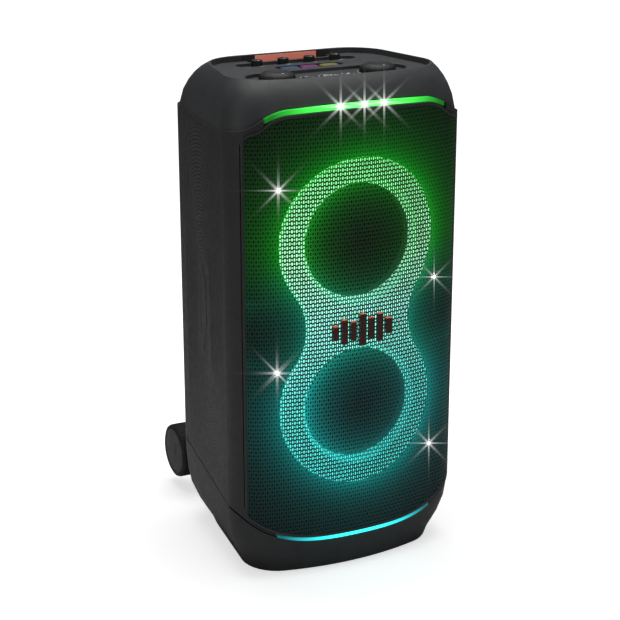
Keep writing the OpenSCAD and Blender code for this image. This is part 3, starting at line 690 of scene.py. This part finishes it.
def build_scrim():
    """Dark cloth behind the grille round the light ring, tucked under the ring's edge, with the ring's light
    painted on it.
    """
    count_s, count_z = 130, 240
    limit = GRILLE_S - 0.001
    s = np.linspace(-limit, limit, count_s)
    xs = x_of_s(s)
    top, low = grille_top(xs) - 0.001, grille_low(xs) + 0.001
    t = np.linspace(0, 1, count_z)[:, None]
    z = (low[None, :] + (top - low)[None, :] * t).ravel()
    ss = np.repeat(s[None, :], count_z, 0).ravel()
    within = np.maximum(0, -ring_distance(x_of_s(ss), z)[2])
    weave = 0.00012 * np.sin(ss * 900) * np.sin(z * 900)
    xyz = to_front(ss, z, 0.0052 + weave + np.clip(within, 0, 0.010) * 0.9)
    keep = within < 0.008
    used, points, faces = kept_part(xyz, grid_faces(count_z, count_s), keep)
    material = glowing("scrim_cloth", (0.004, 0.004, 0.005), 0.95, 1.0, grain=0.3)
    obj = make_mesh("grille_cloth", points, faces, material, "black_plastic")
    # painted light: the cloth emits part of the ring's light spilling onto it
    set_colours(obj, web_glow(ss, z)[used] * 0.45)
    thick = obj.modifiers.new("cloth", "SOLIDIFY")
    thick.thickness = 0.0004
    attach(obj, "cabinet")


# ---- sides -----------------------------------------------------------------------------------

def side_x(y):
    """Half width of the cabinet's flat side at depth y."""
    start_x = CORNER_X + CORNER_R * math.cos(TAPER)
    start_y = CORNER_Y + CORNER_R * math.sin(TAPER)
    return start_x - (y - start_y) * math.tan(TAPER)


def build_side_ripples():
    """Moulded ripples on each side, running round the inlay like contour lines."""
    step = 0.00125
    inlay = centre("side_inlays")
    core_lo, core_hi = inlay.z - 0.040, inlay.z + 0.040
    y = np.arange(CORNER_Y + 0.006, REAR_Y - 0.052, step)
    z = np.arange(BASE_HI.z - 0.028, SEAM_Z - 0.004, step)
    yy, zz = np.meshgrid(y, z)
    lowest = 0.100 + 0.030 * np.clip((yy - CORNER_Y) / 0.190, 0, 1) + 0.0025
    edge = np.minimum.reduce([yy - y[0], y[-1] - yy, zz - lowest, z[-1] - zz])
    rim = np.clip(edge / 0.010, 0, 1)
    along = zz - np.clip(zz, core_lo, core_hi)
    squash = np.where(along < 0, 1.25, 1.45)
    reach = np.hypot(yy * squash, along)
    ripple = 0.5 + 0.5 * np.cos(reach * 2 * math.pi / 0.0052)
    quiet = ease((reach - 0.030) / 0.010)
    height = 0.00004 + 0.00055 * ripple * ease(rim) * quiet
    tuck = np.where(edge <= 0.0002, -0.0006, 0.0)
    inlay_gap = (np.abs(yy) < 0.0155) & (np.abs(zz - inlay.z) < 0.066)
    height = np.where(inlay_gap, -0.0006, height) + tuck
    keep = (zz > lowest - step)
    for side, name in ((-1, "side_ripples_left"), (1, "side_ripples_right")):
        surface_x = side_x(yy)
        px = side * (surface_x + height * math.cos(TAPER))
        py = yy + height * math.sin(TAPER)
        pts = np.column_stack([px.ravel(), py.ravel(), zz.ravel()])
        _, points, faces = kept_part(pts, grid_faces(len(z), len(y)), keep.ravel())
        if side < 0:
            faces = [f[::-1] for f in faces]
        obj = make_mesh(name, points, faces, MATERIAL["charcoal_plastic"], "charcoal_plastic")
        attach(obj, "cabinet")


def build_inlay_marks():
    """Raised outline on each side inlay."""
    mid = centre("side_inlays")
    mid_x = (HALF_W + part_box("cabinet_shell")[0].x) / 2     # under 0.1 mm, as HALF_W is rounded
    shape = [(0, -62), (13, -20), (9, 44), (0, 62), (-9, 44), (-13, -20)]
    for side, name in ((-1, "inlay_outline_left"), (1, "inlay_outline_right")):
        loops = []
        for scale, height in ((0.98, 0.0), (0.98, 0.42), (0.90, 0.42), (0.90, 0.0)):
            for u, w in shape:
                y = u * MM * scale
                x = mid_x + side * (0.160 + height * MM - y * math.tan(TAPER))
                loops.append((x, y, mid.z + w * MM * (1 + scale) / 2))
        faces = loop_faces(4, len(shape))
        obj = make_mesh(name, loops, faces, GROOVE, "black_plastic", smooth=False)
        fix_normals(obj)
        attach(obj, "cabinet")


# ---- lights ----------------------------------------------------------------------------------

STAR_SPOTS = [(-0.112, 0.537), (0.117, 0.393), (-0.115, 0.294), (0.115, 0.154)]
STROBE_X = (-0.0308, 0.0022, 0.0308)
LAMP_STRENGTH = 40.0


def disc_lens(x, z, inset, radius, depth=0.0018):
    """A small domed lens on the bowed front, facing straight out of it."""
    profile = [(0.0, 0.0)]
    profile += [(radius * math.sin(a), depth * math.cos(a) - depth)
                for a in np.linspace(0.25, math.pi / 2, 6)]
    profile += [(radius, -depth * 1.6)]
    start_x, start_y = (float(v) for v in front_point(s_of_x(x), inset))
    turn = math.asin(x / BOW_R)

    def place(u, v, h):
        return start_x + u * math.cos(turn), start_y - h + u * math.sin(turn), z + v

    return lathe(profile, 20, place)


def build_lamps(name, lenses):
    points, faces = join_meshes(lenses)
    material = lamp_material(name + "_white", LAMP_STRENGTH)
    obj = make_mesh(name + "_lenses", points, faces, material, "white_light")
    fix_normals(obj)
    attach(obj, "cabinet")


def build_stars():
    """White star lights just behind the mesh, and the three strobes set in the top light bar."""
    build_lamps("star", [disc_lens(x, z, 0.0003, 0.0022) for x, z in STAR_SPOTS])
    build_lamps("strobe", [disc_lens(x, float(bar_mid(x)) + 0.0006, 0.0009, 0.0020) for x in STROBE_X])


# ---- control deck ----------------------------------------------------------------------------

KNOBS = ("mic_volume_knob", "echo_knob", "bass_knob", "treble_knob")
DIALS = ("volume_dial", "light_dial")


def knob_profile(radius, height):
    return [(0.0, height), (radius * 0.55, height), (radius * 0.60, height - 0.0002),
            (radius * 0.66, height - 0.0002), (radius * 0.72, height), (radius - 0.0014, height - 0.0001),
            (radius - 0.0007, height - 0.0006), (radius - 0.0004, height - 0.0016), (radius, 0.0012),
            (radius, 0.0), (radius * 0.6, 0.0)]


def dial_profile(radius, height):
    return [(0.0, height - 0.0014), (radius * 0.42, height - 0.0012), (radius * 0.50, height - 0.0004),
            (radius * 0.56, height), (radius * 0.72, height - 0.0010), (radius * 0.80, height - 0.0022),
            (radius * 0.81, height - 0.0028), (radius * 0.86, height - 0.0029),
            (radius * 0.88, height - 0.0030), (radius * 0.95, height - 0.0046),
            (radius - 0.0003, height - 0.0062), (radius, 0.0030), (radius, 0.0), (radius * 0.8, 0.0)]


def ridge(angle, count):
    """Depth of the groove at an angle, 0 to 1, for count ridges round a knob."""
    return 0.5 - 0.5 * math.cos(angle * count)


def deck_cap(name, points, faces, slot):
    """A visual cap that stands in for a control's node and moves with it."""
    obj = make_mesh(name + "_cap", points, faces, MATERIAL[slot], slot)
    fix_normals(obj)
    obj.modifiers.new("shade", "WEIGHTED_NORMAL")
    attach(obj, name)
    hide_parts(name)


def build_knobs():
    """Small rotary knobs with ribbed skirts and a white pointer."""
    for name in KNOBS:
        lo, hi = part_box(name)
        mid = (lo + hi) / 2
        radius, tall = (hi.x - lo.x) / 2, hi.z - DECK_FLOOR

        def ribbed(a, r, h, radius=radius, tall=tall):
            on_skirt = r > radius * 0.9 and h < tall - 0.001
            return r - 0.00045 * ridge(a, 22) if on_skirt else r

        points, faces = lathe(knob_profile(radius, tall), 132,
                              lambda u, v, h: (mid.x + u, mid.y + v, DECK_FLOOR + h), ribbed)
        deck_cap(name, points, faces, "knob_rubber")
        pointer = box_mesh(Vector((mid.x, mid.y - radius * 0.62, hi.z - 0.0001)),
                           (0.0011, radius * 0.62, 0.0006))
        mark = make_mesh(name + "_pointer", *pointer, MARK_WHITE, "white_light", smooth=False)
        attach(mark, name)


def build_dials():
    """Large knurled dials with a stepped, gently dished top."""
    for name in DIALS:
        lo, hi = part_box(name)
        mid = (lo + hi) / 2
        radius, tall = (hi.x - lo.x) / 2, hi.z - DECK_FLOOR

        def knurl(a, r, h, radius=radius):
            return r - 0.0007 * ridge(a, 48) if r > radius * 0.93 and h > 0.001 else r

        points, faces = lathe(dial_profile(radius, tall), 288,
                              lambda u, v, h: (mid.x + u, mid.y + v, DECK_FLOOR + h), knurl)
        deck_cap(name, points, faces, "knob_rubber")
        spot = tube_ring(Vector((mid.x, mid.y - radius * 0.70, hi.z - 0.0010)), 0.0, 0.0014, 0.0004)
        mark = make_mesh(name + "_dot", *spot, MARK_WHITE, "white_light", smooth=False)
        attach(mark, name)


def build_pads():
    """Soft effect pads with a rounded, slightly dished top."""
    for name in ("effect_pad_blue", "effect_pad_pink", "effect_pad_yellow"):
        lo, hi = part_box(name)
        mid = (lo + hi) / 2
        half_x, half_y = (hi.x - lo.x) / 2, (hi.y - lo.y) / 2
        base = DECK_TOP - 0.0035
        tall = hi.z - base
        rings = []
        for inset, h, r in ((0, 0, 4), (0, tall - 0.0012, 4),
                            (0.0004, tall - 0.0004, 3.7), (0.0012, tall, 3.2),
                            (0.0026, tall - 0.0001, 2.4), (0.0046, tall - 0.0006, 1.4)):
            ring = []
            for cx, cy, a0 in ((1, 1, 0), (-1, 1, 90), (-1, -1, 180), (1, -1, 270)):
                for a in range(0, 91, 15):
                    rad = math.radians(a0 + a)
                    rr = r * MM
                    ring.append((mid.x + cx * (half_x - inset - rr) + rr * math.cos(rad),
                                 mid.y + cy * (half_y - inset - rr) + rr * math.sin(rad), base + h))
            rings.append(ring)
        n = len(rings[0])
        faces = grid_faces(len(rings), n, wrap=True)
        faces += [tuple(range(n))[::-1], tuple((len(rings) - 1) * n + i for i in range(n))]
        deck_cap(name, np.vstack(rings), faces, NODE_SLOT[name])


def build_deck_marks():
    """Plain printed marks: dots by the dials, rings round the buttons, dashes by the knobs."""
    floor_z = DECK_TOP - 0.0050
    parts = []
    for dial in DIALS:
        mid = centre(dial)
        inward = -1 if mid.x > 0 else 1
        for k in range(5):
            a = math.radians(90 + inward * (-90 + (k - 2) * 17))
            p = Vector((mid.x + 0.0262 * math.cos(a), mid.y + 0.0262 * math.sin(a), floor_z))
            parts.append(tube_ring(p, 0.0, 0.0011, 0.0002, count=12))
    for button, radius in (("power_button", 0.0118), ("pairing_button", 0.0086), ("play_button", 0.0086)):
        mid = centre(button)
        parts.append(tube_ring(Vector((mid.x, mid.y, floor_z)), radius, radius + 0.0005, 0.0002, count=48))
    pts, faces = join_meshes(parts)
    obj = make_mesh("deck_marks", pts, faces, MARK_WHITE, "white_light", smooth=False)
    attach(obj, "cabinet")
    parts = []
    for k in range(3):
        parts.append(box_mesh(Vector((-0.016 + 0.016 * k, -0.074, DECK_TOP)), (0.007, 0.0016, 0.0003)))
    for name in KNOBS:
        mid = centre(name)
        parts.append(box_mesh(Vector((mid.x, mid.y - 0.0172, DECK_TOP)), (0.0062, 0.0010, 0.0003)))
    pts, faces = join_meshes(parts)
    obj = make_mesh("deck_dashes", pts, faces, MARK_WHITE, "white_light", smooth=False)
    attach(obj, "cabinet")


def build_button_icons():
    """Generic icons: a power ring, a play triangle and a pairing arc."""
    top = {n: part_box(n)[1].z for n in ("power_button", "play_button", "pairing_button")}
    mid = centre("power_button")
    lift = 0.0001
    parts = [tube_ring(Vector((mid.x, mid.y, top["power_button"] - lift)), 0.0044, 0.0056, 0.0003,
                       math.radians(120), math.radians(420), 40),
             box_mesh(Vector((mid.x, mid.y + 0.0030, top["power_button"] + 0.0001)),
                      (0.0012, 0.0044, 0.0004))]
    icons = [("power_button", parts)]
    mid = centre("play_button")
    z = top["play_button"] - lift
    tri = [(mid.x - 0.0016, mid.y - 0.0022), (mid.x + 0.0024, mid.y), (mid.x - 0.0016, mid.y + 0.0022)]
    pts = [(x, y, z) for x, y in tri] + [(x, y, z + 0.0003) for x, y in tri]
    icons.append(("play_button", [(pts, [(0, 2, 1), (3, 4, 5), (0, 1, 4, 3), (1, 2, 5, 4), (2, 0, 3, 5)])]))
    mid = centre("pairing_button")
    icons.append(("pairing_button", [
        tube_ring(Vector((mid.x, mid.y, top["pairing_button"] - lift)), r, r + 0.0006, 0.0003,
                  math.radians(30), math.radians(150), 16) for r in (0.0012, 0.0026)]))
    for name, parts in icons:
        pts, faces = join_meshes(parts)
        obj = make_mesh(name + "_icon", pts, faces, MARK_WHITE, "white_light", smooth=False)
        fix_normals(obj)
        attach(obj, name)


# ---- wheels ----------------------------------------------------------------------------------

WHEEL_HUB = 0.0262                    # radius where the tyre meets the disc


def tyre_profile(radius, width):
    tread = [(WHEEL_HUB, 0.0012), (radius - 0.0050, 0.0010), (radius - 0.0014, 0.0022),
             (radius - 0.0002, 0.0046)]
    for groove in (0.0090, 0.0160, 0.0230):
        tread += [(radius, groove - 0.0012), (radius - 0.0010, groove - 0.0007),
                  (radius - 0.0010, groove + 0.0007), (radius, groove + 0.0012)]
    return tread + [(radius - 0.0002, width - 0.0046), (radius - 0.0013, width - 0.0022),
                    (radius - 0.0046, width - 0.0006), (radius - 0.0052, width - 0.0006),
                    (radius - 0.0056, width - 0.0014), (WHEEL_HUB, width - 0.0016)]


def disc_profile(radius, width):
    return [(0.0050, 0.0012), (0.0130, 0.0012), (0.0130, 0.0042), (0.0260, 0.0042), (0.0265, 0.0014),
            (radius - 0.0060, 0.0014), (radius - 0.0056, width - 0.0016), (radius - 0.0060, width - 0.0006),
            (radius - 0.0072, width - 0.0005), (radius - 0.0078, width - 0.0012), (0.0200, width - 0.0008),
            (0.0105, width - 0.0005), (0.0100, width - 0.0009), (0.0094, width - 0.0004), (0.0, width)]


def build_wheels():
    """Rubber-tyred wheels with a grooved tread, a flat disc and a hub cap."""
    for name, side in (("left_wheel", -1), ("right_wheel", 1)):
        lo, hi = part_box(name)
        mid = (lo + hi) / 2
        radius, width = (hi.z - lo.z) / 2, hi.x - lo.x
        inner = lo.x if side > 0 else hi.x

        def place(u, v, h, inner=inner, side=side, mid=mid):
            return inner + side * h, mid.y + u, mid.z + v

        def lugs(a, r, h, radius=radius):
            return r - 0.0008 if ridge(a, 40) > 0.82 and r > radius - 0.0003 else r

        tyre = lathe(tyre_profile(radius, width), 240, place, lugs)
        obj = make_mesh(name + "_tyre", *tyre, MATERIAL["rubber"], "rubber")
        fix_normals(obj)
        obj.modifiers.new("shade", "WEIGHTED_NORMAL")
        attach(obj, name)
        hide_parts(name)

        disc = lathe(disc_profile(radius, width), 96, place)
        obj = make_mesh(name + "_disc", *disc, MATERIAL["wheel_plastic"], "wheel_plastic")
        fix_normals(obj)
        edge_round(obj, 0.0003, 40, 2)
        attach(obj, name)


# ---- rear ------------------------------------------------------------------------------------

# Distance from the middle and outer radius of each socket's collar
SOCKETS = ((-0.052, 0.0088), (-0.026, 0.0088), (0.004, 0.0054), (0.026, 0.0054))


def build_port_guard():
    """Three bars across the mouth of the bass port."""
    port = centre("port_tube")
    mouth = 0.0270
    bars = []
    for dz in (-0.012, 0.0, 0.012):
        half = math.sqrt(mouth ** 2 - dz ** 2)
        bars.append(box_mesh(Vector((port.x, REAR_Y - 0.010, port.z + dz)), (2 * half, 0.0030, 0.0022)))
    guard = make_mesh("port_guard", *join_meshes(bars), MATERIAL["black_plastic"], "black_plastic",
                      smooth=False)
    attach(guard, "cabinet")


def build_sockets():
    """A collar round each socket and a printed dash above it."""
    face_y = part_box("io_panel")[0].y + 0.0030
    z = centre("input_jacks").z
    collars = []
    for x, radius in SOCKETS:
        points, faces = tube_ring(Vector((0, 0, 0)), radius - 0.0014, radius, 0.0012, count=40)
        collars.append(([(x + u, face_y + h - 0.0001, z + v) for u, v, h in points], faces))
    obj = make_mesh("socket_collars", *join_meshes(collars), MATERIAL["cap_plastic"], "cap_plastic")
    fix_normals(obj)
    edge_round(obj, 0.0003, 40, 2)
    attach(obj, "cabinet")
    dashes = [box_mesh(Vector((x, face_y, z + 0.0140)), (0.0070, 0.0003, 0.0010)) for x, _ in SOCKETS]
    marks = make_mesh("socket_marks", *join_meshes(dashes), MARK_WHITE, "white_light", smooth=False)
    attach(marks, "cabinet")


def build_door_ribs():
    """Finger ribs across the battery door."""
    lo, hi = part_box("battery_door")
    ribs = []
    for k in range(7):
        z = lo.z + 0.012 + k * 0.0085
        ribs.append(box_mesh(Vector((0, hi.y - 0.0003, z)), (0.110, 0.0012, 0.0022)))
    obj = make_mesh("door_ribs", *join_meshes(ribs), MATERIAL["charcoal_plastic"], "charcoal_plastic",
                    smooth=False)
    edge_round(obj, 0.0004, 40, 2)
    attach(obj, "battery_door")


# ---- stage -----------------------------------------------------------------------------------

def build_floor():
    """White floor that brightens away from the object, so only the soft shadow shows."""
    floor_mesh = bpy.data.meshes.new("floor")
    floor_mesh.from_pydata([(-6, -6, 0), (6, -6, 0), (6, 6, 0), (-6, 6, 0)], [], [(0, 1, 2, 3)])
    floor = bpy.data.objects.new("floor", floor_mesh)
    bpy.context.scene.collection.objects.link(floor)
    s = Shader("studio_floor")
    tone = s.spread(s.noise(2.0), 0, 1)
    s.link(s.mix(tone, (0.86, 0.86, 0.87), (0.90, 0.90, 0.90)), s.bsdf.inputs["Base Color"])
    s.bsdf.inputs["Roughness"].default_value = 0.9
    s.bsdf.inputs["Specular IOR Level"].default_value = 0.0
    s.bsdf.inputs["Emission Color"].default_value = (1, 1, 1, 1)
    reach = s.node("ShaderNodeVectorMath", operation="LENGTH")
    s.link(s.coords.outputs["Object"], reach.inputs[0])
    glow = s.spread(reach.outputs["Value"], 0.66, 1.06, 0.24, 0.55)
    seen = s.node("ShaderNodeMath", operation="MULTIPLY")
    path = s.node("ShaderNodeLightPath")
    s.link(glow, seen.inputs[0])
    s.link(path.outputs["Is Camera Ray"], seen.inputs[1])
    s.link(seen.outputs[0], s.bsdf.inputs["Emission Strength"])
    floor_mesh.materials.append(s.material)


def build_world():
    """White backdrop for the camera; far dimmer as a light on the object."""
    world = bpy.data.worlds.new("studio")
    bpy.context.scene.world = world
    world.use_nodes = True
    nodes, links = world.node_tree.nodes, world.node_tree.links
    back = nodes["Background"]
    path = nodes.new("ShaderNodeLightPath")
    level = nodes.new("ShaderNodeMapRange")
    level.inputs["To Min"].default_value = 0.065
    level.inputs["To Max"].default_value = 1.05
    links.new(path.outputs["Is Camera Ray"], level.inputs["Value"])
    links.new(level.outputs["Result"], back.inputs["Strength"])
    back.inputs["Color"].default_value = (1, 1, 1, 1)


def softbox(name, place, aim, size, power):
    light = bpy.data.lights.new(name, "AREA")
    light.shape = "RECTANGLE"
    light.size, light.size_y = size
    light.energy = power
    obj = bpy.data.objects.new(name, light)
    obj.location = place
    obj.rotation_mode = "QUATERNION"
    obj.rotation_quaternion = (Vector(aim) - Vector(place)).to_track_quat("-Z", "Y")
    bpy.context.scene.collection.objects.link(obj)


def build_lights():
    top = CAP_HI.z
    softbox("top_softbox", (0.1, 0.1, top + 1.3), (0, 0, top * 0.6), (1.6, 1.6), 23)
    softbox("left_softbox", (-2.1, -0.3, 0.9), (0, 0, 0.35), (0.8, 1.8), 2.6)
    softbox("front_softbox", (0.5, -2.4, 1.3), (0, 0, 0.35), (1.6, 1.0), 3.0)


CAMERA_PLACE = Vector((-0.9630, -1.9287, 1.0325))
CAMERA_AIM = Vector((-0.0003, 0.00015, 0.3242))


def build_camera():
    """The view of the object from its front left, slightly above."""
    data = bpy.data.cameras.new("camera")
    data.lens = 95.2
    data.sensor_width = 36.0
    cam = bpy.data.objects.new("camera", data)
    cam.location = CAMERA_PLACE
    cam.rotation_mode = "QUATERNION"
    cam.rotation_quaternion = (CAMERA_AIM - CAMERA_PLACE).to_track_quat("-Z", "Y")
    data.shift_x = -0.0008
    data.clip_start, data.clip_end = 0.05, 30
    bpy.context.scene.collection.objects.link(cam)
    bpy.context.scene.camera = cam


GLINT_THRESHOLD = 4.0                 # only the star lamps are brighter than this
GLINT_MAXIMUM = 30.0                  # the lamps' glints are held to this brightness


def add_glare(tree, image, kind, strength, **inputs):
    glare = tree.nodes.new("CompositorNodeGlare")
    glare.glare_type = kind
    glare.quality = "HIGH"
    glare.inputs["Threshold"].default_value = GLINT_THRESHOLD
    glare.inputs["Clamp"].default_value = True
    glare.inputs["Maximum"].default_value = GLINT_MAXIMUM
    glare.inputs["Strength"].default_value = strength
    for name, value in inputs.items():
        glare.inputs[name].default_value = value
    tree.links.new(image, glare.inputs["Image"])
    return glare.outputs["Image"]


def build_sparkle():
    """Star-shaped glints and a soft halo on the brightest lamps only."""
    scene = bpy.context.scene
    scene.use_nodes = True
    tree = scene.node_tree
    tree.nodes.clear()
    image = tree.nodes.new("CompositorNodeRLayers").outputs["Image"]
    image = add_glare(tree, image, "STREAKS", 0.35, Streaks=8, Fade=0.87)
    image = add_glare(tree, image, "FOG_GLOW", 0.22, Size=0.25)
    tree.links.new(image, tree.nodes.new("CompositorNodeComposite").inputs["Image"])


dress_nodes()
build_grille()
build_grille_rim()
build_scrim()
build_side_ripples()
build_inlay_marks()
build_stars()
build_knobs()
build_dials()
build_pads()
build_deck_marks()
build_button_icons()
build_wheels()
build_port_guard()
build_sockets()
build_door_ribs()
build_floor()
build_world()
build_lights()
build_camera()
build_sparkle()
bpy.context.scene.view_settings.view_transform = "Standard"
